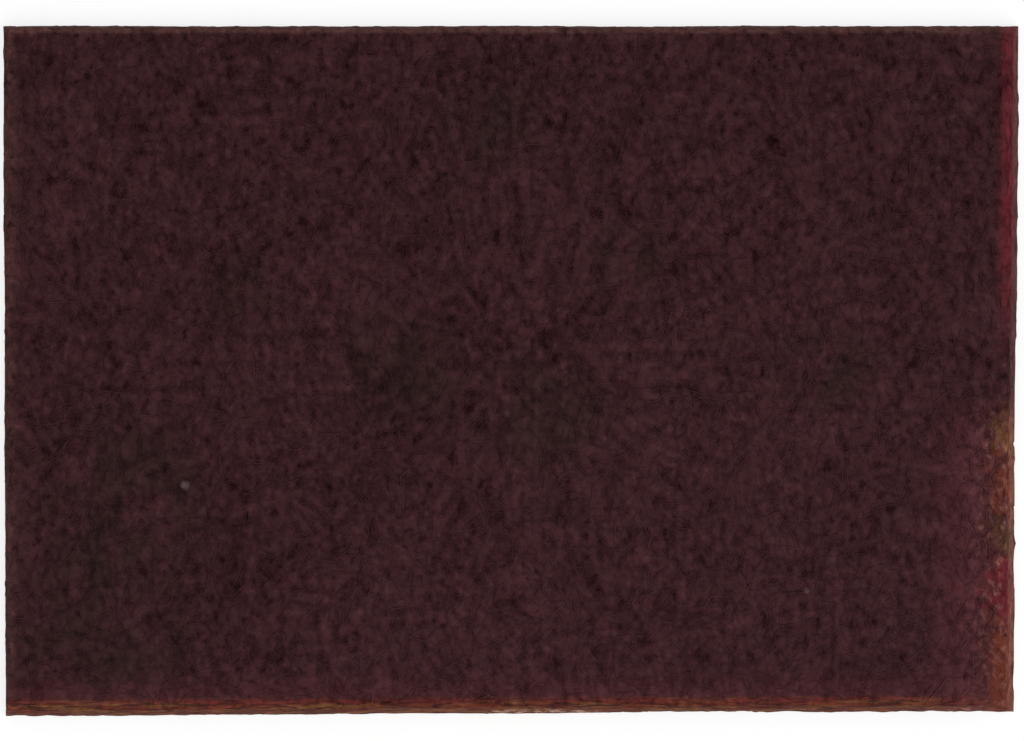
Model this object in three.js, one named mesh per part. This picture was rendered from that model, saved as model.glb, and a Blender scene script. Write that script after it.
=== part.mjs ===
import { BufferGeometry, Float32BufferAttribute, Group, MathUtils, Mesh, MeshStandardMaterial } from 'three';

// A non-woven abrasive pad: one sheet of lofty, resin-bonded fibre web, knife-cut to a hand size.
// Lengths are in millimetres. The pad lies flat on z = 0, its long side along x, its back edge at +y.

// The cut outline
const LENGTH = 229.6; // of the back cut
const WIDTH = 155.9; // of the left cut
// How far the other cuts run inwards, as such sheets are cut a little out of square
const LEFT_DRIFT = 0.55; // from back to front
const RIGHT_DRIFT = 1.5; // from back to front
const FRONT_DRIFT = 1.1; // from left to right
const CUT_WAVER = 0.1; // how far a cut strays from its straight line
const WAVER_LENGTH = 82; // from one such stray to the next
const CUT_FRAY = 0.07; // how far tufts stand out of a cut
const FRAY_LENGTH = 3.4; // from tuft to tuft

// The thickness of the web
const THICKNESS = 6.8; // in the open
const EDGE_THICKNESS = 5.7; // at a cut, where the knife pressed it down
const WORN_THICKNESS = 4.3; // at the worn front half of the right cut
const PINCH_REACH = 9; // from a cut to where the web has its full loft
const WORN_REACH = 17; // from the right cut to where the wear ends
const WORN_START = 12; // from the middle of the right cut back to where the wear starts
const WORN_RUN = 38; // from the start of the wear to where it is deepest

// The cut faces: each foot stands out past its shoulder
const BACK_LEAN = 0.5;
const FRONT_LEAN = 1.3;
const LEFT_LEAN = 0.4;
const RIGHT_LEAN = 1.5;
const SHOULDER_WIDTH = 1.5;
const SHOULDER_DROP = 1.7;
const FOOT_RADIUS = 0.45;
const FACE_MIDDLE = 0.55; // the share of a cut face's height at its middle ring of points

// The lumps of a lofty web, drawn out a little along y, the way its fibres were laid
const LUMP_RISE = 0.3;
const LONGEST_LUMP = 38;
const SHORTEST_LUMP = 7.5;
const LUMP_WAVES = 15;
const GRAIN = 1.35;

// The spacing of the points that carry the lumps
const STEP = 3.05;

const { lerp, smoothstep } = MathUtils;
const TURN = 2 * Math.PI;
const GOLDEN_RATIO = (1 + Math.sqrt(5)) / 2;
const CELLS_X = Math.round(LENGTH / STEP);
const CELLS_Y = Math.round(WIDTH / STEP);

// The four corners of the outline, by side and end
const HALF_LENGTH = LENGTH / 2;
const HALF_WIDTH = WIDTH / 2;
const BACK_LEFT = [-HALF_LENGTH, HALF_WIDTH];
const BACK_RIGHT = [HALF_LENGTH, HALF_WIDTH];
const FRONT_LEFT = [LEFT_DRIFT - HALF_LENGTH, -HALF_WIDTH];
const FRONT_RIGHT = [HALF_LENGTH - RIGHT_DRIFT, FRONT_DRIFT - HALF_WIDTH];

// The place of grid point (i, j), on an outline that lies inside the foot's by the given insets.
function planPoint(i, j, inset) {
  const roomX = LENGTH - inset.left - inset.right;
  const roomY = WIDTH - inset.front - inset.back;
  const across = (inset.left + roomX * i / CELLS_X) / LENGTH;
  const along = (inset.front + roomY * j / CELLS_Y) / WIDTH;
  return [0, 1].map((axis) => lerp(
    lerp(FRONT_LEFT[axis], FRONT_RIGHT[axis], across),
    lerp(BACK_LEFT[axis], BACK_RIGHT[axis], across),
    along,
  ));
}

// The insets of the four sides for a share of their lean and a distance that all sides have.
function insets(leanShare, distance) {
  return {
    left: LEFT_LEAN * leanShare + distance,
    right: RIGHT_LEAN * leanShare + distance,
    front: FRONT_LEAN * leanShare + distance,
    back: BACK_LEAN * leanShare + distance,
  };
}

// The rise and fall of the web: waves of ever shorter length, each turned by the golden angle.
function lump(x, y) {
  let sum = 0;
  for (let wave = 0; wave < LUMP_WAVES; wave += 1) {
    const share = wave / (LUMP_WAVES - 1);
    const length = LONGEST_LUMP * (SHORTEST_LUMP / LONGEST_LUMP) ** share;
    const heading = TURN * wave / GOLDEN_RATIO;
    const travel = x * Math.cos(heading) + y * Math.sin(heading) / GRAIN;
    sum += Math.sin(TURN * travel / length + wave * wave);
  }
  return LUMP_RISE * sum / Math.sqrt(LUMP_WAVES);
}

// How far a cut stands out at a place: a slow waver with the tufts' fray on it.
function stray(x, y, level) {
  const slow = Math.sin(TURN * (x - y) / WAVER_LENGTH + level);
  const quick = Math.sin(TURN * GOLDEN_RATIO * (x + y) / WAVER_LENGTH - level);
  const tuft = Math.sin(TURN * (x - y) / FRAY_LENGTH + 2 * level);
  const gap = Math.cos(TURN * (x + y) / (GOLDEN_RATIO * FRAY_LENGTH) + level);
  return CUT_WAVER * (slow + quick) / 2 + CUT_FRAY * tuft * gap;
}

// The height of the web's upper face.
function topHeight(x, y) {
  const sides = [
    x - lerp(FRONT_LEFT[0], BACK_LEFT[0], 0.5),
    y - lerp(FRONT_LEFT[1], FRONT_RIGHT[1], 0.5),
    HALF_WIDTH - y,
  ];
  const fromRight = lerp(FRONT_RIGHT[0], BACK_RIGHT[0], y / WIDTH + 0.5) - x;
  const fromCut = Math.min(fromRight, ...sides);
  const worn = (1 - smoothstep(fromRight, 0, WORN_REACH)) * smoothstep(WORN_START - y, 0, WORN_RUN);
  const open = THICKNESS + lump(x, y);
  const pressed = lerp(EDGE_THICKNESS + lump(x, y), open, smoothstep(fromCut, 0, PINCH_REACH));
  return lerp(pressed, WORN_THICKNESS + lump(x, y) / 2, worn);
}

// The rim's section from the shoulder down to the underside. Each ring of points has its share of
// the lean, its distance inwards, and its height for a given height of the upper face.
const RIM = [
  ...[60, 30, 0].map((degrees) => {
    const angle = MathUtils.degToRad(degrees);
    return {
      lean: 1,
      inwards: SHOULDER_WIDTH * (1 - Math.cos(angle)),
      height: (top) => top - SHOULDER_DROP * (1 - Math.sin(angle)),
    };
  }),
  { lean: FACE_MIDDLE, inwards: 0, height: (top) => (top - SHOULDER_DROP) * FACE_MIDDLE },
  { lean: 0, inwards: 0, height: () => FOOT_RADIUS },
  { lean: 0, inwards: FOOT_RADIUS, height: () => 0 },
];

// The grid points round the edge, in order, anticlockwise from the front left corner.
function edgePoints() {
  const points = [];
  for (let i = 0; i < CELLS_X; i += 1) points.push([i, 0]);
  for (let j = 0; j < CELLS_Y; j += 1) points.push([CELLS_X, j]);
  for (let i = CELLS_X; i > 0; i -= 1) points.push([i, CELLS_Y]);
  for (let j = CELLS_Y; j > 0; j -= 1) points.push([0, j]);
  return points;
}

function padGeometry() {
  const places = [];
  const faces = [];
  const gridIndex = (i, j) => j * (CELLS_X + 1) + i;

  // The upper face
  const topInset = insets(1, SHOULDER_WIDTH);
  for (let j = 0; j <= CELLS_Y; j += 1) {
    for (let i = 0; i <= CELLS_X; i += 1) {
      const [x, y] = planPoint(i, j, topInset);
      places.push([x, y, topHeight(x, y)]);
    }
  }
  for (let j = 0; j < CELLS_Y; j += 1) {
    for (let i = 0; i < CELLS_X; i += 1) {
      const corners = [gridIndex(i, j), gridIndex(i + 1, j), gridIndex(i + 1, j + 1), gridIndex(i, j + 1)];
      const turned = (i + j) % 2;
      const [a, b, c, d] = [...corners.slice(turned), ...corners.slice(0, turned)];
      faces.push([a, b, c], [a, c, d]);
    }
  }

  // The cut faces, ring below ring
  const edge = edgePoints();
  let above = edge.map(([i, j]) => gridIndex(i, j));
  const topOfEdge = above.map((index) => places[index][2]);
  RIM.forEach((ring, level) => {
    const below = edge.map(([i, j], n) => {
      const [x0, y0] = planPoint(i, j, insets(ring.lean, ring.inwards));
      const [x, y] = planPoint(i, j, insets(ring.lean, ring.inwards - stray(x0, y0, level / 2)));
      places.push([x, y, ring.height(topOfEdge[n])]);
      return places.length - 1;
    });
    edge.forEach((_, n) => {
      const next = (n + 1) % edge.length;
      faces.push([above[n], below[n], below[next]], [above[n], below[next], above[next]]);
    });
    above = below;
  });

  // The flat underside, a fan of triangles round its middle
  const middle = places.length;
  places.push([0, 0, 0]);
  above.forEach((index, n) => faces.push([middle, above[(n + 1) % above.length], index]));

  const geometry = new BufferGeometry();
  geometry.setAttribute('position', new Float32BufferAttribute(places.flat(), 3));
  geometry.setIndex(faces.flat());
  geometry.computeBoundingBox();
  const { min, max } = geometry.boundingBox;
  geometry.translate(-(min.x + max.x) / 2, -(min.y + max.y) / 2, 0);
  geometry.computeVertexNormals();
  return geometry;
}

const fibreWeb = new MeshStandardMaterial({ color: '#45262b', roughness: 0.95, metalness: 0 });
const pad = new Mesh(padGeometry(), fibreWeb);
pad.name = 'abrasive_pad';

const group = new Group();
group.add(pad);

export default group;
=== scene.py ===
"""A non-woven abrasive pad, lying flat and seen from straight above.

The pad is one sheet of lofty web: crimped synthetic fibres, bonded by a dark red resin that
carries the abrasive grain. The core of the web comes first, then the fibres on its faces and cuts.
"""

import math

import bmesh
import bpy
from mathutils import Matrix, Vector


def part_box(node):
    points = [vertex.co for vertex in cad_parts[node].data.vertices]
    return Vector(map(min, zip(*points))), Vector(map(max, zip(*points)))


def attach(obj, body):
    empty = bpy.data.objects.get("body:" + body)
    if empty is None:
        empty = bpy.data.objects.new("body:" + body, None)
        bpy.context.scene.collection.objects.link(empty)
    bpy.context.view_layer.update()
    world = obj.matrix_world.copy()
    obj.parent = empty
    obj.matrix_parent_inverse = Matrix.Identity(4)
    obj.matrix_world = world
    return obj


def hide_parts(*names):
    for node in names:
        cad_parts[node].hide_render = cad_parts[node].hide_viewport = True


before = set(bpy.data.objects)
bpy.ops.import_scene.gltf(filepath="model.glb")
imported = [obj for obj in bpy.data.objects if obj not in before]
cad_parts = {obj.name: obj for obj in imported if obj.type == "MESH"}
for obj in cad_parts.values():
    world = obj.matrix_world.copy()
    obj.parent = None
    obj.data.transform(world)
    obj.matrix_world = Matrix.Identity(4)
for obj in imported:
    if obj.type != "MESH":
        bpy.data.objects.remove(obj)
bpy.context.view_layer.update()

MM = 0.001

# The camera
# It looks straight down with a long lens. The pad's middle lies a little left of the picture's.
PIXELS_PER_METRE = 4422
PICTURE_WIDTH = 1024
PAD_MIDDLE_X = 510.95
LENS = 250
SENSOR = 36

view_width = PICTURE_WIDTH / PIXELS_PER_METRE
camera_data = bpy.data.cameras.new("camera")
camera_data.sensor_width = SENSOR
camera_data.lens = LENS
camera = bpy.data.objects.new("camera", camera_data)
camera.location = (
    (PICTURE_WIDTH / 2 - PAD_MIDDLE_X) / PIXELS_PER_METRE,
    0,
    view_width * LENS / SENSOR,
)
bpy.context.scene.collection.objects.link(camera)
bpy.context.scene.camera = camera
bpy.context.scene.view_settings.view_transform = "Standard"


# The light and the floor
# A soft white room with one broad lamp from the front right, over a white sheet of paper.
ROOM_LIGHT = 0.78
KEY_LIGHT = 0.9
KEY_WIDTH = math.radians(60)
KEY_TILT = (math.radians(38), 0, math.radians(52))
FLOOR_SIZE = 3.0
PAPER = (0.96, 0.96, 0.96, 1)
PAPER_GLOW = 0.7
PAPER_WHITE = 1.045


class Wire:
    """The output of a node. Arithmetic on wires adds Math nodes to the same tree."""

    def __init__(self, tree, socket=None):
        self.tree = tree
        self.socket = socket

    def node(self, kind, values=None, result=0, **settings):
        """Adds a node, its settings first, and gives the wire of the output called result."""
        node = self.tree.nodes.new(kind)
        for name, setting in settings.items():
            setattr(node, name, setting)
        for name, value in (values or {}).items():
            if isinstance(value, Wire):
                self.tree.links.new(value.socket, node.inputs[name])
            else:
                node.inputs[name].default_value = value
        return Wire(self.tree, node.outputs[result] if node.outputs else None)

    def out(self, name):
        return Wire(self.tree, self.socket.node.outputs[name])

    def math(self, operation, *values):
        return self.node("ShaderNodeMath", dict(enumerate(values)), operation=operation)

    def vector(self, operation, *values, result=0):
        sockets = dict(enumerate(values))
        return self.node("ShaderNodeVectorMath", sockets, result, operation=operation)

    def scale(self, amount):
        """This vector or colour, times a number."""
        values = {0: self, "Scale": amount}
        return self.node("ShaderNodeVectorMath", values, operation="SCALE")

    def __add__(self, other):
        return self.math("ADD", self, other)

    def __sub__(self, other):
        return self.math("SUBTRACT", self, other)

    def __rsub__(self, other):
        return self.math("SUBTRACT", other, self)

    def __mul__(self, other):
        return self.math("MULTIPLY", self, other)

    def __truediv__(self, other):
        return self.math("DIVIDE", self, other)

    def __rtruediv__(self, other):
        return self.math("DIVIDE", other, self)

    def __pow__(self, other):
        return self.math("POWER", self, other)

    __radd__ = __add__
    __rmul__ = __mul__

    def ramp(self, low, high):
        """From 0 where this is at low to 1 where it is at high, smoothly."""
        values = {"Value": self, "From Min": low, "From Max": high}
        return self.node("ShaderNodeMapRange", values, interpolation_type="SMOOTHSTEP")

    def mix(self, first, second):
        """The colour that is first where this is 0 and second where it is 1."""
        values = {0: self, 6: first, 7: second}
        return self.node("ShaderNodeMix", values, 2, data_type="RGBA", clamp_factor=True)


def paint(red, green, blue):
    """A colour of 8-bit sRGB values as the shader takes it."""
    def linear(value):
        share = value / 255
        return share / 12.92 if share <= 0.04045 else ((share + 0.055) / 1.055) ** 2.4
    return (linear(red), linear(green), linear(blue), 1)


def new_tree(owner):
    owner.use_nodes = True
    owner.node_tree.nodes.clear()
    return Wire(owner.node_tree)


room = bpy.data.worlds.new("room")
bpy.context.scene.world = room
tree = new_tree(room)
light_path = tree.node("ShaderNodeLightPath", result="Is Camera Ray")
seen = light_path.math("MAXIMUM", light_path, light_path.out("Is Glossy Ray"))
seen = seen.math("MAXIMUM", seen, light_path.out("Is Transmission Ray"))
strength = ROOM_LIGHT + seen * (1 - ROOM_LIGHT)
background = tree.node("ShaderNodeBackground", {"Color": (1, 1, 1, 1), "Strength": strength})
tree.node("ShaderNodeOutputWorld", {"Surface": background})

key_data = bpy.data.lights.new("key", "SUN")
key_data.energy = KEY_LIGHT
key_data.angle = KEY_WIDTH
key = bpy.data.objects.new("key", key_data)
key.rotation_euler = KEY_TILT
bpy.context.scene.collection.objects.link(key)

half_floor = FLOOR_SIZE / 2
floor_corners = [(-1, -1), (1, -1), (1, 1), (-1, 1)]
floor_mesh = bpy.data.meshes.new("floor")
floor_mesh.from_pydata(
    [(x * half_floor, y * half_floor, 0) for x, y in floor_corners],
    [],
    [(0, 1, 2, 3)],
)
floor = bpy.data.objects.new("floor", floor_mesh)
bpy.context.scene.collection.objects.link(floor)
paper = bpy.data.materials.new("paper")
tree = new_tree(paper)
light_path = tree.node("ShaderNodeLightPath", result="Is Camera Ray")
matt = tree.node("ShaderNodeBsdfDiffuse", {"Color": PAPER})
white = tree.node("ShaderNodeEmission", {"Color": (1, 1, 1, 1), "Strength": PAPER_WHITE})
sheet = tree.node("ShaderNodeMixShader", {0: light_path * PAPER_GLOW, 1: matt, 2: white})
tree.node("ShaderNodeOutputMaterial", {"Surface": sheet})
floor_mesh.materials.append(paper)


# The core of the web
# The mass of fibres and resin that closes the view into the pad. Its faces swell into tufts and
# sink into pores a few millimetres apart, drawn out along y, the way the fibres were laid.
# The core is rebuilt on a grid of cubes, whose depth and share of the box set their size
CORE_DEPTH = 8
CORE_SHARE = 0.86
TUFT_WIDTH = 1.7 * MM
SWELL_WIDTH = 3.6 * MM
RELIEF = 1.4 * MM
CORE_SINK = 0.25 * MM
CORE_FOOT = 0.12 * MM
STRAND_WIDTH = 0.9 * MM
STRAND_TURNS = 5
STRAND_STRETCH = (0.22, 1, 0.5)
SWIRL_WIDTH = 3.5 * MM
SWIRL_REACH = 3.0 * MM
PORE_WIDTH = 1.8 * MM
MERGE_DISTANCE = 0.002 * MM
# How much longer tufts and pores are along y
GRAIN = 1.35
# The bump of the resin's grains, how glossy the coat is, and how light the web is painted: the core
# darker as painted shade deep in the web, and the relief as painted shade in pores and painted
# light on tufts
GRAIN_WIDTH = 0.3 * MM
CRUST_WIDTH = 0.8 * MM
CORE_BUMP = 0.12 * MM
CORE_SHADED_TONE = 0.275
STRAND_TONE = 0.2
RESIN_GLOSS = 0.07
RELIEF_SHADING = 0.75
# Where a pore's shade and a tuft's light start and are full, and how strong each is
PORE_SHADE = (0.45, 0.29)
PORE_DEPTH = 0.24
TUFT_LIGHT = (0.56, 0.72)
TUFT_LIFT = 0.2

# Lengths from here to the pad's box are in millimetres.
# How far the cuts run out of square, from end to end
RIGHT_DRIFT = 1.5
LEFT_DRIFT = 0.55
FRONT_DRIFT = 1.1

# The colours of the web, its cuts and the right cut's blotches; the front and right cuts carry
# painted light
DEEP = paint(30, 7, 10)
LIGHT = paint(80, 47, 51)
SMOKE = paint(37, 29, 24)
RUST = paint(102, 48, 34)
OCHRE = paint(114, 74, 46)
UMBER = paint(60, 30, 30)
WINE = paint(104, 35, 43)
BROWN = paint(90, 60, 56)
PINK = paint(88, 46, 50)
OLIVE = paint(80, 54, 34)
CRIMSON = paint(100, 32, 40)
PALE = paint(142, 98, 86)
STRAW = paint(190, 152, 132)
SPECK_TINT = paint(104, 84, 85)
# The lighter and darker places of the field
PATCH_WIDTH = 7.0
CLOUD_WIDTH = 22.0
PATCH_TONE = 0.3
SLOPE_TONE = 0.1
# Where smoke-dark clouds lie in the web: x, y and reach
CLOUDS = (
    (-88, -29, 27),
    (-92, -58, 27),
    (-24, 0, 20),
    (8, -9, 19),
    (-5, 57, 14),
    (26, 26, 11),
    (71, 1, 14),
    (-61, 17, 12),
)
# Where the web is a little paler than elsewhere: x, y and reach
PALER = ((-25, -62, 36), (-114, 45, 48))
PALER_LIFT = 0.08
SMOKE_WIDTH = 9.0
SMOKE_DEPTH = 0.4
WEB_TOP = 6
# Where small light specks lie on it: x, y, reach and strength
SPECKS = ((-73.5, -25.9, 1.4, 0.75), (66.6, -49.6, 0.9, 0.45))
# Heights count for less in a speck's reach, which still keeps it off the underside
SPECK_PRESS = (1, 1, 0.25)
SPECK_HEIGHT = 1.7
# How far from a cut each of its colours starts, and how far from it the colour is full
BACK_LINE = (2.4, 1.5)
LEFT_LINE = (5.0, 1.0)
FRONT_BLUSH = (11.0, 4.0)
FRONT_BAND = (4.4, 2.9)
FRONT_FOOT = (1.5, 0.2)
FRONT_LINE = ((2.6, 3.0), (3.6, 3.1))
FRONT_SHADE = (5.0, 3.0)
STRAW_REACH = (1.4, 0.4)
WINE_REACH = (5.4, 2.6)
RIGHT_LINE = (1.6, 1.0)
RIGHT_BLUSH = (24.0, 8.0)
BLOTCH_REACH = (10.0, 1.5)
BLOTCH_LIMIT = (20.0, 9.0)
CORNER_REACH = (6.0, 3.6)
RIGHT_FOOT = (1.8, 0.4)
RIGHT_SHADE = (20.0, 4.0)
PALE_REACH = (13.0, 1.5)
RIM_REACH = (4.0, 1.6)
# Where along the right cut its front with painted light, its wine red and its rusty corner start
# and are full
RIGHT_LIT_SPAN = (-4, -16)
WINE_START = (-2, 32)
CORNER = (-58, -62)
# Where the straw tufts of the front cut start and end
STRAW_TUFTS = ((-7, -2, 15, 21), (98, 101, 107, 111))
# The blotch colours of the right cut from back to front, painted lighter as lit fibres: where each
# one takes over from the last
BLOTCH_WIDTH = 2.4
BLOTCH_WANDER = 18
CRIMSON_SPREAD = ((-41, -46), (-58, -52))
BLOTCH_COLOURS = ((-16, -20, RUST), (-31, -35, OLIVE), (-41, -45, CRIMSON), (-54, -58, RUST))

low_corner, high_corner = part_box("abrasive_pad")
LEFT_CUT, FRONT_CUT = low_corner[0] / MM, low_corner[1] / MM
RIGHT_CUT, BACK_CUT = high_corner[0] / MM, high_corner[1] / MM


def noise(tree, place, width, detail=2.0, result=0):
    """A noise whose lumps are about as wide as width, in the units of the place."""
    values = {"Vector": place, "Scale": 1 / width, "Detail": detail}
    return tree.node("ShaderNodeTexNoise", values, result)


def along_grain(tree, place):
    """A place on the web, drawn out the way its fibres were laid."""
    return tree.vector("MULTIPLY", place, (1, 1 / GRAIN, 1))


def streaks(tree, place, stretch, width=1.0, detail=1.0):
    """A noise that is longest in the direction whose stretch is smallest."""
    return noise(tree, tree.vector("MULTIPLY", place, stretch), width, detail)


def relief(tree, place):
    """How full the web is at a place in metres: low in a pore, 0.5 on the whole, high on a tuft."""
    laid = along_grain(tree, place)
    tuft = noise(tree, laid, TUFT_WIDTH)
    swell = noise(tree, laid, SWELL_WIDTH, 1.0)
    return tuft * 0.55 + swell * 0.45


def strands(tree, place):
    """Thin fibres that cross at many angles: 1 along their middles and 0 between them."""
    swirl = noise(tree, place, SWIRL_WIDTH, result="Color")
    curled = tree.vector("MULTIPLY_ADD", swirl, (SWIRL_REACH, SWIRL_REACH, 0), place)
    most = 0
    for turn in range(STRAND_TURNS):
        heading = math.pi * (turn + 0.4) / STRAND_TURNS
        turned = tree.node(
            "ShaderNodeVectorRotate",
            {"Vector": curled, "Angle": heading},
            rotation_type="Z_AXIS",
        )
        stretched = tree.vector("MULTIPLY_ADD", turned, STRAND_STRETCH, (turn * 0.1, 0, 0))
        grain = noise(tree, stretched, STRAND_WIDTH, 0.0)
        line = tree.math("ABSOLUTE", grain - 0.5).ramp(0.08, 0.0)
        most = tree.math("MAXIMUM", line, most)
    return most


def web_colour(tree, place, tone_and_painted_light):
    """The colour of the web at a place in metres, for a lightness from 0 to 1 that holds painted
    shade and light of the relief.
    """
    spot = tree.vector("DIVIDE", place, (MM, MM, MM))
    laid = along_grain(tree, spot)
    across = tree.node("ShaderNodeSeparateXYZ", {0: spot}, "X")
    along = across.out("Y")
    share_back = along / (BACK_CUT - FRONT_CUT) + 0.5
    share_right = across / (RIGHT_CUT - LEFT_CUT) + 0.5
    from_right = RIGHT_CUT - RIGHT_DRIFT * (1 - share_back) - across
    from_front = along - FRONT_CUT - FRONT_DRIFT * share_right
    from_left = across - LEFT_CUT - LEFT_DRIFT * (1 - share_back)
    from_back = BACK_CUT - along

    # The field: maroon, with painted light on the tufts and painted shade in the pores, lighter to
    # the front right, with a few smoky clouds
    patch = noise(tree, laid, PATCH_WIDTH, 1.0)
    cloud = noise(tree, laid, CLOUD_WIDTH)
    light = tone_and_painted_light + (patch - 0.5) * PATCH_TONE + (cloud - 0.5) * PATCH_TONE
    light = light + (share_right - share_back) * SLOPE_TONE
    for x, y, reach in PALER:
        away = tree.vector("DISTANCE", spot, (x, y, WEB_TOP), result=1)
        light = light + away.ramp(reach, reach * 0.3) * PALER_LIFT
    colour = light.mix(DEEP, LIGHT)
    smoke = 0
    for x, y, reach in CLOUDS:
        away = tree.vector("DISTANCE", spot, (x, y, WEB_TOP), result=1)
        smoke = smoke + away.ramp(reach, reach * 0.3)
    smoke = smoke * noise(tree, laid, SMOKE_WIDTH).ramp(0.32, 0.58)
    colour = (smoke * SMOKE_DEPTH).mix(colour, SMOKE)
    pressed = tree.vector("MULTIPLY", spot, SPECK_PRESS)
    for x, y, reach, strength in SPECKS:
        away = tree.vector("DISTANCE", pressed, (x, y, SPECK_HEIGHT), result=1)
        colour = (away.ramp(reach, reach * 0.3) * strength).mix(colour, SPECK_TINT)

    # The back and left cuts: a thin brownish line
    thin = tree.math("MAXIMUM", from_back.ramp(*BACK_LINE), from_left.ramp(*LEFT_LINE) * 0.5)
    colour = (thin * 0.6).mix(colour, BROWN)

    # The front cut: streaks of rust and ochre under a wine red line, and a few straw tufts. The
    # band's warm lightness and the pink blush before it are painted light on a cut that faces the
    # lamp
    front_streak = streaks(tree, spot, (0.2, 1.6, 1.2))
    front_hue = streaks(tree, spot, (0.08, 0.7, 0.4), detail=2.0)
    band = (front_hue - from_front * 0.05 + 0.09).ramp(0.44, 0.6).mix(RUST, OCHRE)
    band = (front_streak.ramp(0.56, 0.38) * 0.85).mix(band, UMBER)
    line = from_front.ramp(*FRONT_LINE[0]) * from_front.ramp(*FRONT_LINE[1])
    band = (line * (0.1 + 0.5 * front_streak.ramp(0.42, 0.55))).mix(band, WINE)
    colour = (from_front.ramp(*FRONT_BLUSH) * 0.3).mix(colour, PINK)
    colour = (from_front.ramp(*FRONT_BAND) * 0.85).mix(colour, band)
    colour = (from_front.ramp(*FRONT_FOOT) * 0.15).mix(colour, PALE)
    tufty = 0
    for start, full, ebb, end in STRAW_TUFTS:
        tufty = tufty + across.ramp(start, full) * across.ramp(end, ebb)
    straw = from_front.ramp(*STRAW_REACH) * tufty * noise(tree, spot, 2.0).ramp(0.45, 0.65)
    colour = (straw * 0.75).mix(colour, STRAW)

    # The right cut: wine red streaks at the back. Its front holds blotches of colour, a pink blush,
    # pale spots and a rusty corner, painted lighter as fibres that the lamp lights
    right_streak = streaks(tree, spot, (1.6, 0.2, 1.2))
    lit_front = along.ramp(*RIGHT_LIT_SPAN)
    wine = from_right.ramp(*WINE_REACH) * (0.45 + 0.55 * right_streak.ramp(0.42, 0.56))
    wine = wine * along.ramp(*WINE_START) * (1 - lit_front)
    colour = (wine * 0.85).mix(colour, WINE)
    colour = (from_right.ramp(*RIGHT_LINE) * (1 - lit_front) * 0.6).mix(colour, BROWN)
    colour = (from_right.ramp(*RIGHT_BLUSH) * lit_front * 0.5).mix(colour, PINK)
    blot = streaks(tree, spot, (1, 0.8, 1), BLOTCH_WIDTH, 3.0)
    hue = noise(tree, tree.vector("ADD", spot, (40, 0, 0)), 5.0)
    blotch_place = along + (hue - 0.5) * BLOTCH_WANDER
    patches = OCHRE
    for start, full, blotch_colour in BLOTCH_COLOURS:
        patches = blotch_place.ramp(start, full).mix(patches, blotch_colour)
    near = from_right.ramp(*BLOTCH_REACH)
    start, end = CRIMSON_SPREAD
    near = near + blotch_place.ramp(*start) * blotch_place.ramp(*end) * 0.25
    blots = (near + (blot - 0.5) * 2.6 - 0.35).ramp(-0.1, 1.0)
    blots = blots * lit_front * from_right.ramp(*BLOTCH_LIMIT)
    colour = (blots * 0.85).mix(colour, patches)
    corner = from_right.ramp(*CORNER_REACH) * along.ramp(*CORNER)
    colour = (corner * 0.6).mix(colour, RUST)
    colour = (from_right.ramp(*RIGHT_FOOT) * lit_front * 0.4).mix(colour, PALE)
    pale_spot = streaks(tree, spot, (1.2, 0.8, 1.2), 1.6, 2.0)
    pale = from_right.ramp(*PALE_REACH) * lit_front * pale_spot.ramp(0.48, 0.78)
    colour = (pale * 0.62).mix(colour, PALE)

    # The fibres stand out in the cuts' colours too
    cut = tree.math("MAXIMUM", from_front.ramp(*FRONT_SHADE), from_right.ramp(*RIGHT_SHADE) * lit_front)
    rim = tree.math("MINIMUM", tree.math("MINIMUM", from_right, from_left), from_back)
    rim = rim.ramp(*RIM_REACH)
    layers = streaks(tree, spot, (0.3, 0.3, 2.0), detail=2.0)
    shade = 1 + tree.math("MAXIMUM", cut, rim) * (tone_and_painted_light - 0.45) * 1.1
    shade = shade * (1 + rim * (layers - 0.5) * 1.6)
    return colour.scale(shade)


def web_material(name, tone_of, grain_height):
    """Resin-coated fibre: matt and dark, with grains of mineral in the resin."""
    material = bpy.data.materials.new(name)
    tree = new_tree(material)
    place = tree.node("ShaderNodeTexCoord", result="Object")
    # The colour follows the relief: painted shade in the pores and painted light on the tufts, over
    # the piece's own tone
    tone_and_painted_light = (relief(tree, place) - 0.5) * RELIEF_SHADING + tone_of(tree, place)
    pore = noise(tree, along_grain(tree, place), PORE_WIDTH)
    tone_and_painted_light = tone_and_painted_light - pore.ramp(*PORE_SHADE) * PORE_DEPTH + pore.ramp(*TUFT_LIGHT) * TUFT_LIFT
    colour = web_colour(tree, place, tone_and_painted_light)
    grains = noise(tree, place, GRAIN_WIDTH)
    crust = noise(tree, place, CRUST_WIDTH, 3.0)
    bump = tree.node(
        "ShaderNodeBump",
        {"Height": grains * 0.4 + crust, "Strength": 1.0, "Distance": grain_height},
        "Normal",
    )
    shader = tree.node(
        "ShaderNodeBsdfPrincipled",
        {
            "Base Color": colour,
            "Roughness": 0.78 + 0.2 * grains,
            "Specular IOR Level": RESIN_GLOSS,
            "Normal": bump,
        },
    )
    tree.node("ShaderNodeOutputMaterial", {"Surface": shader})
    return material


cad_pad = bpy.data.objects["abrasive_pad"]


def copy_of_pad(name):
    """A merged copy of the pad's solid, as an object that modifiers can work on."""
    shape = bmesh.new()
    shape.from_mesh(cad_pad.data)
    bmesh.ops.remove_doubles(shape, verts=shape.verts, dist=MERGE_DISTANCE)
    mesh = bpy.data.meshes.new(name)
    shape.to_mesh(mesh)
    shape.free()
    mesh.materials.clear()
    mesh.shade_smooth()
    piece = bpy.data.objects.new(name, mesh)
    bpy.context.scene.collection.objects.link(piece)
    return piece


def new_group(name, inputs):
    """A geometry tree with the given inputs, and the wire of the geometry that comes in."""
    group = bpy.data.node_groups.new(name, "GeometryNodeTree")
    for label, kind in {"Geometry": "Geometry", **inputs}.items():
        socket_type = "NodeSocket" + kind
        group.interface.new_socket(label, in_out="INPUT", socket_type=socket_type)
    group.interface.new_socket("Geometry", in_out="OUTPUT", socket_type="NodeSocketGeometry")
    return group, Wire(group).node("NodeGroupInput", result="Geometry")


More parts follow.
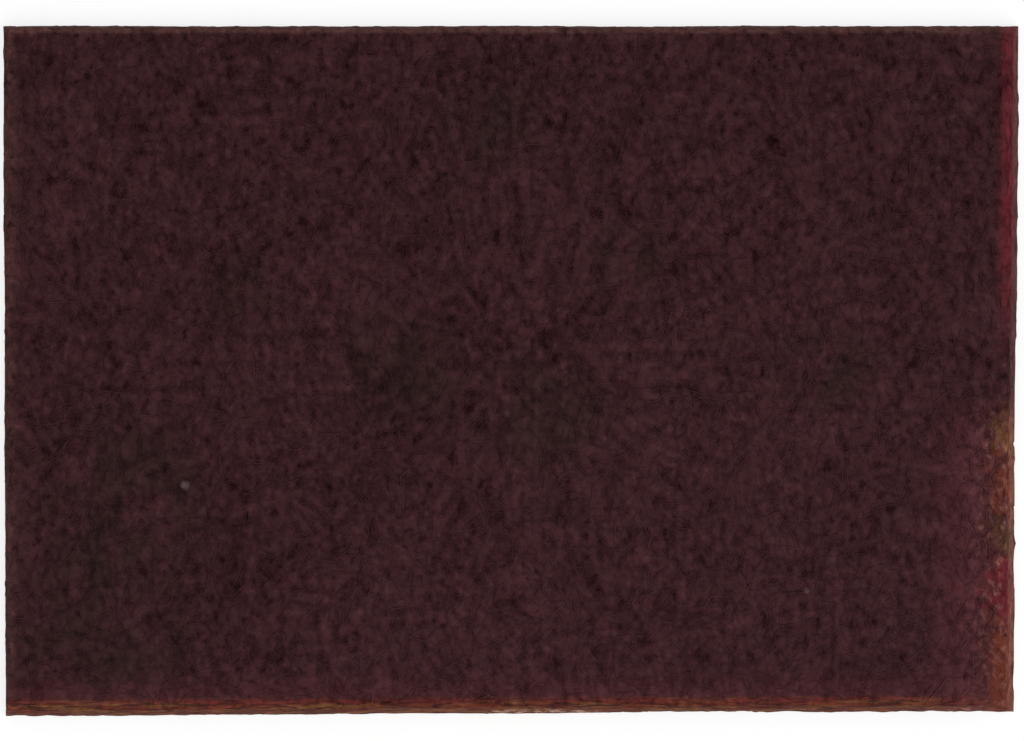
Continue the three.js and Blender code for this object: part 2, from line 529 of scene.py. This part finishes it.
def add_group(piece, group, values):
    """Puts a geometry tree on a piece, with the values of its named inputs."""
    modifier = piece.modifiers.new(group.name, "NODES")
    modifier.node_group = group
    for item in group.interface.items_tree:
        if item.in_out == "INPUT" and item.name in values:
            modifier[item.identifier] = values[item.name]


def make_plain(piece):
    """Gives the piece the plain mesh that its modifiers make of it, and removes them."""
    depsgraph = bpy.context.evaluated_depsgraph_get()
    mesh = bpy.data.meshes.new_from_object(piece.evaluated_get(depsgraph))
    piece.modifiers.clear()
    old = piece.data
    piece.data = mesh
    bpy.data.meshes.remove(old)
    mesh.name = piece.name


def tuft_group():
    """Swells the level faces into tufts, sinks them into pores and notes which way they face."""
    group, web = new_group(
        "tufts and pores",
        {"Relief": "Float", "Sink": "Float", "Foot": "Float", "Material": "Material"},
    )
    normal = web.node("GeometryNodeInputNormal")
    facing = web.node("ShaderNodeSeparateXYZ", {0: normal}, "Z")
    marked = web.node(
        "GeometryNodeStoreNamedAttribute",
        {"Geometry": web, "Name": "facing", "Value": facing},
        data_type="FLOAT",
        domain="POINT",
    )
    position = web.node("GeometryNodeInputPosition")
    rise = (relief(web, position) - 0.5) * 2 * web.out("Relief") - web.out("Sink")
    offset = normal.scale(rise * web.math("ABSOLUTE", facing).ramp(0.3, 0.95))
    swollen = web.node("GeometryNodeSetPosition", {"Geometry": marked, "Offset": offset})
    split = web.node("ShaderNodeSeparateXYZ", {0: position}, "X")
    above = web.node(
        "ShaderNodeCombineXYZ",
        {0: split, 1: split.out("Y"), 2: web.math("MAXIMUM", split.out("Z"), web.out("Foot"))},
    )
    seated = web.node("GeometryNodeSetPosition", {"Geometry": swollen, "Position": above})
    done = web.node(
        "GeometryNodeSetMaterial", {"Geometry": seated, "Material": web.out("Material")}
    )
    web.node("NodeGroupOutput", {"Geometry": done})
    return group


pad_web = copy_of_pad("pad_web")
remesh = pad_web.modifiers.new("web grid", "REMESH")
remesh.mode = "SHARP"
remesh.octree_depth = CORE_DEPTH
remesh.scale = CORE_SHARE
remesh.use_smooth_shade = True
# The core is painted darker than the fibres, as painted shade deep in the web
core_material = web_material(
    "web_core",
    lambda tree, place: CORE_SHADED_TONE + strands(tree, place) * STRAND_TONE,
    CORE_BUMP,
)
add_group(
    pad_web,
    tuft_group(),
    {"Relief": RELIEF, "Sink": CORE_SINK, "Foot": CORE_FOOT, "Material": core_material},
)
make_plain(pad_web)
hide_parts("abrasive_pad")
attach(pad_web, "root")


# The fibres
# Crimped nylon staple, a quarter of a millimetre thick with its coat of resin. Each fibre wanders
# over the web and weaves in and out of it. At a cut it is cut off or bends over the edge.
FIBRE_THICKNESS = 0.23 * MM
FIBRE_LENGTH = 13 * MM
FIBRE_STEPS = 14
CRIMP_WIDTH = 3.2 * MM
CRIMP_REACH = 1.3 * MM
WEAVE_REACH = 0.22 * MM
WEAVE_WIDTH = 5.5 * MM
OVERHANG = 0.6 * MM
DRIFT_WIDTH = 6 * MM
COAT_WIDTH = 0.9 * MM
FIBRE_BUMP = 0.04 * MM
FIBRE_TONE = 0.45
TONE_CHANGE = 0.16
# The range of the faces' upward slopes for each side of the pad
TOP = (0.85, 2.0)
CUTS = (-0.85, 0.85)
UNDERSIDE = (-2.0, -0.85)


def fibre_group():
    """Lays crimped fibres on the chosen faces of the web."""
    group, web = new_group(
        "fibres on the web",
        {
            "Lowest facing": "Float",
            "Highest facing": "Float",
            "Along the cut": "Float",
            "Density": "Float",
            "Seed": "Int",
            "Length": "Float",
            "Steps": "Int",
            "Thickness": "Float",
            "Crimp width": "Float",
            "Crimp reach": "Float",
            "Weave width": "Float",
            "Weave reach": "Float",
            "Lift": "Float",
            "Overhang": "Float",
            "Grain": "Float",
            "Material": "Material",
        },
    )
    seed = web.out("Seed")

    def chance(number, low=0.0, high=1.0):
        values = {2: low, 3: high, "Seed": seed + number}
        return web.node("FunctionNodeRandomValue", values, 1, data_type="FLOAT")

    # Where the fibres start, and which way each one runs
    normal = web.node("GeometryNodeInputNormal")
    facing = web.node("GeometryNodeInputNamedAttribute", {"Name": "facing"}, data_type="FLOAT")
    chosen = web.math("GREATER_THAN", facing, web.out("Lowest facing")) * web.math(
        "LESS_THAN", facing, web.out("Highest facing")
    )
    points = web.node(
        "GeometryNodeDistributePointsOnFaces",
        {"Mesh": web, "Selection": chosen, "Density": web.out("Density"), "Seed": seed},
    )
    toned = web.node(
        "GeometryNodeStoreNamedAttribute",
        {"Geometry": points, "Name": "tone", "Value": chance(1)},
        data_type="FLOAT",
        domain="POINT",
    )
    position = web.node("GeometryNodeInputPosition")
    drift = noise(web, position, DRIFT_WIDTH, 1.0)
    angle = (drift - 0.5) * 14 + chance(2, -0.7, 0.7)
    any_way = web.node(
        "ShaderNodeCombineXYZ",
        {0: web.math("COSINE", angle), 1: web.math("SINE", angle) * web.out("Grain")},
    )
    level = web.vector("CROSS_PRODUCT", points.out("Normal"), (0, 0, 1))
    level = web.vector("ADD", level, web.node("ShaderNodeCombineXYZ", {2: chance(4, -0.7, 0.7)}))
    way = web.node(
        "ShaderNodeMix",
        {0: web.out("Along the cut"), 4: any_way, 5: level},
        1,
        data_type="VECTOR",
    )
    upright = web.node(
        "FunctionNodeAlignRotationToVector", {"Vector": points.out("Normal")}, axis="Z"
    )
    turned = web.node(
        "FunctionNodeAlignRotationToVector",
        {"Rotation": upright, "Vector": way},
        axis="X",
        pivot_axis="Z",
    )
    straight = web.node(
        "GeometryNodeCurvePrimitiveLine", {"Start": (-0.5, 0, 0), "End": (0.5, 0, 0)}
    )
    stepped = web.node(
        "GeometryNodeResampleCurve", {"Curve": straight, "Count": web.out("Steps")}
    )
    placed = web.node(
        "GeometryNodeInstanceOnPoints",
        {
            "Points": toned,
            "Instance": stepped,
            "Rotation": turned,
            "Scale": web.out("Length") * chance(3, 0.6, 1.3),
        },
    )
    fibres = web.node("GeometryNodeRealizeInstances", {"Geometry": placed})

    # How each one wanders, lies on the web and weaves through it
    tone = web.node("GeometryNodeInputNamedAttribute", {"Name": "tone"}, data_type="FLOAT")
    own_place = web.vector("ADD", position, web.node("ShaderNodeCombineXYZ", {2: tone}))
    bend = noise(web, own_place, web.out("Crimp width"), 0.0, "Color")
    centred = web.vector("SUBTRACT", bend, (0.5, 0.5, 0.5))
    wandering = web.vector("ADD", position, centred.scale(web.out("Crimp reach") * 4))
    nearest = web.node(
        "GeometryNodeProximity", {"Geometry": web, "Sample Position": wandering}
    )
    lost = web.math("GREATER_THAN", nearest.out("Distance"), web.out("Overhang"))
    trimmed = web.node(
        "GeometryNodeDeleteGeometry", {"Geometry": fibres, "Selection": lost}, domain="POINT"
    )
    short = web.math("LESS_THAN", web.node("GeometryNodeSplineLength").out("Point Count"), 4)
    trimmed = web.node(
        "GeometryNodeDeleteGeometry", {"Geometry": trimmed, "Selection": short}, domain="CURVE"
    )
    outwards = web.node(
        "GeometryNodeSampleNearestSurface",
        {"Mesh": web, "Value": normal, "Sample Position": wandering},
        data_type="FLOAT_VECTOR",
    )
    weave = noise(web, own_place, web.out("Weave width"), 1.0)
    along = web.node("GeometryNodeSplineParameter")
    from_middle = web.math("ABSOLUTE", along * 2 - 1)
    dive = from_middle**6 * web.out("Weave reach")
    lift = web.out("Lift") + (weave - 0.5) * 4 * web.out("Weave reach") - dive
    raised = web.vector("ADD", nearest, outwards.scale(lift))
    laid = web.node("GeometryNodeSetPosition", {"Geometry": trimmed, "Position": raised})
    split = web.node("ShaderNodeSeparateXYZ", {0: position}, "X")
    above = web.node(
        "ShaderNodeCombineXYZ",
        {
            0: split,
            1: split.out("Y"),
            2: web.math("MAXIMUM", split.out("Z"), web.out("Thickness") * 0.85),
        },
    )
    seated = web.node("GeometryNodeSetPosition", {"Geometry": laid, "Position": above})

    # Its body: thick and thin with resin, closed at both ends
    coat = noise(web, position, COAT_WIDTH)
    section = web.node(
        "GeometryNodeCurvePrimitiveCircle",
        {"Resolution": 3, "Radius": web.out("Thickness") / 2},
    )
    solid = web.node(
        "GeometryNodeCurveToMesh",
        {
            "Curve": seated,
            "Profile Curve": section,
            "Scale": 0.5 + coat + 0.3 * tone,
            "Fill Caps": True,
        },
    )
    smooth = web.node("GeometryNodeSetShadeSmooth", {"Geometry": solid})
    whole = web.node("GeometryNodeRealizeInstances", {"Geometry": smooth})
    done = web.node(
        "GeometryNodeSetMaterial", {"Geometry": whole, "Material": web.out("Material")}
    )
    web.node("NodeGroupOutput", {"Geometry": done})
    return group


fibre_tree = fibre_group()
fibre_material = web_material(
    "web_fibre",
    lambda tree, place: FIBRE_TONE
    + TONE_CHANGE * tree.node("ShaderNodeAttribute", result="Fac", attribute_name="tone"),
    FIBRE_BUMP,
)


def fibre_piece(name, seed, facing, density, **changes):
    """One layer of fibres on one side of the pad, with so many to the square metre."""
    piece = bpy.data.objects.new(name, pad_web.data.copy())
    bpy.context.scene.collection.objects.link(piece)
    add_group(
        piece,
        fibre_tree,
        {
            "Lowest facing": facing[0],
            "Highest facing": facing[1],
            "Along the cut": 0.0,
            "Density": density,
            "Seed": seed,
            "Length": FIBRE_LENGTH,
            "Steps": FIBRE_STEPS,
            "Thickness": FIBRE_THICKNESS,
            "Crimp width": CRIMP_WIDTH,
            "Crimp reach": CRIMP_REACH,
            "Weave width": WEAVE_WIDTH,
            "Weave reach": WEAVE_REACH,
            "Lift": 0.0,
            "Overhang": OVERHANG,
            "Grain": GRAIN,
            "Material": fibre_material,
            **changes,
        },
    )
    make_plain(piece)
    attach(piece, "root")


fibre_piece("top_fibres_lower", 11, TOP, 120000, **{"Lift": -0.05 * MM})
fibre_piece("top_fibres_middle", 12, TOP, 120000, **{"Lift": 0.05 * MM})
fibre_piece(
    "top_fibres_upper",
    15,
    TOP,
    96000,
    **{"Lift": 0.1 * MM, "Length": 9 * MM, "Thickness": 0.27 * MM, "Crimp reach": 0.9 * MM},
)
fibre_piece("under_fibres", 13, UNDERSIDE, 38000, **{"Lift": -0.1 * MM})
fibre_piece(
    "cut_fibres",
    14,
    CUTS,
    480000,
    **{
        "Along the cut": 1.0,
        "Lift": -0.08 * MM,
        "Length": 5 * MM,
        "Crimp reach": 0.6 * MM,
        "Weave reach": 0.09 * MM,
    },
)
